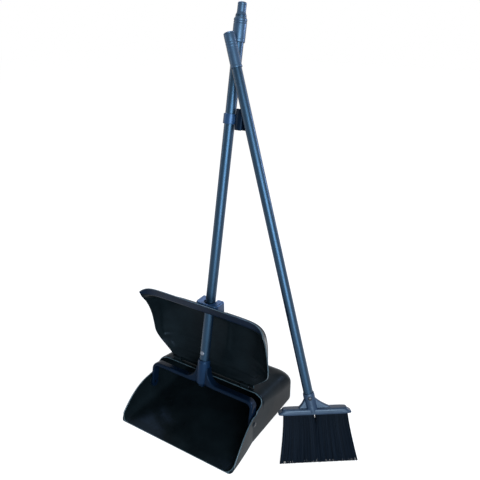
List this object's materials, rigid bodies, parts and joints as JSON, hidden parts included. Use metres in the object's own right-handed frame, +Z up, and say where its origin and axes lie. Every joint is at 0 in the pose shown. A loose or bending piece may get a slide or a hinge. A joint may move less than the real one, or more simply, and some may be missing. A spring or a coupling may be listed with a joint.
{
  "type": "upright dust pan and brush set",
  "caption": "Upright dust pan with a lid that closes as the handle swings forward, and a long-handled brush leaning on its handle.",
  "frame": {"origin": "middle of the pan's flat underside, on the floor", "axes": "+Z up, the pan's open mouth faces -Y, the brush stands at +X"},
  "size_m": [0.5186, 0.2929, 0.8877],
  "materials": {
    "black_plastic": "smooth moulded black plastic",
    "handle_paint": "gloss blue-black paint on a steel tube",
    "grip_plastic": "satin black plastic",
    "bright_steel": "plated steel",
    "bristle_nylon": "dark nylon filaments",
    "broom_plastic": "satin blue-grey plastic"
  },
  "bodies": {
    "pan": {"pan_body": "black_plastic", "pivot_pin_left": "bright_steel", "pivot_pin_right": "bright_steel", "lid_pin_left": "bright_steel", "lid_pin_right": "bright_steel"},
    "handle": {"yoke": "black_plastic", "pan_handle_tube": "handle_paint", "handle_rivet": "bright_steel", "pan_grip": "grip_plastic", "hanging_stub": "grip_plastic", "clip_collar": "black_plastic", "brush_clip": "black_plastic", "clip_rivet": "bright_steel"},
    "lid": {"lid": "black_plastic", "lid_guide": "black_plastic"},
    "brush": {"brush_block": "broom_plastic", "bristles_left": "bristle_nylon", "bristles_right": "bristle_nylon", "brush_handle_tube": "handle_paint", "brush_grip": "grip_plastic", "brush_end_cap": "grip_plastic", "brush_screw": "bright_steel"}
  },
  "joints": [
    {"name": "handle_swing", "type": "hinge", "parent": "pan", "child": "handle", "pos_m": [0, -0.0402, 0.05], "axis": [1, 0, 0], "range_deg": [0, 84.5]},
    {"name": "lid_fold", "type": "hinge", "parent": "pan", "child": "lid", "pos_m": [0, 0.003, 0.1045], "axis": [1, 0, 0], "range_deg": [0, 109.5]},
    {"name": "brush_lift_off", "type": "slide", "parent": "handle", "child": "brush", "axis": [0.6, 0, 0.8], "range_m": [0, 0.35]}
  ],
  "couplings": [
    {"joint": "lid_fold", "follows": "handle_swing", "ratio": 1.2958}
  ]
}
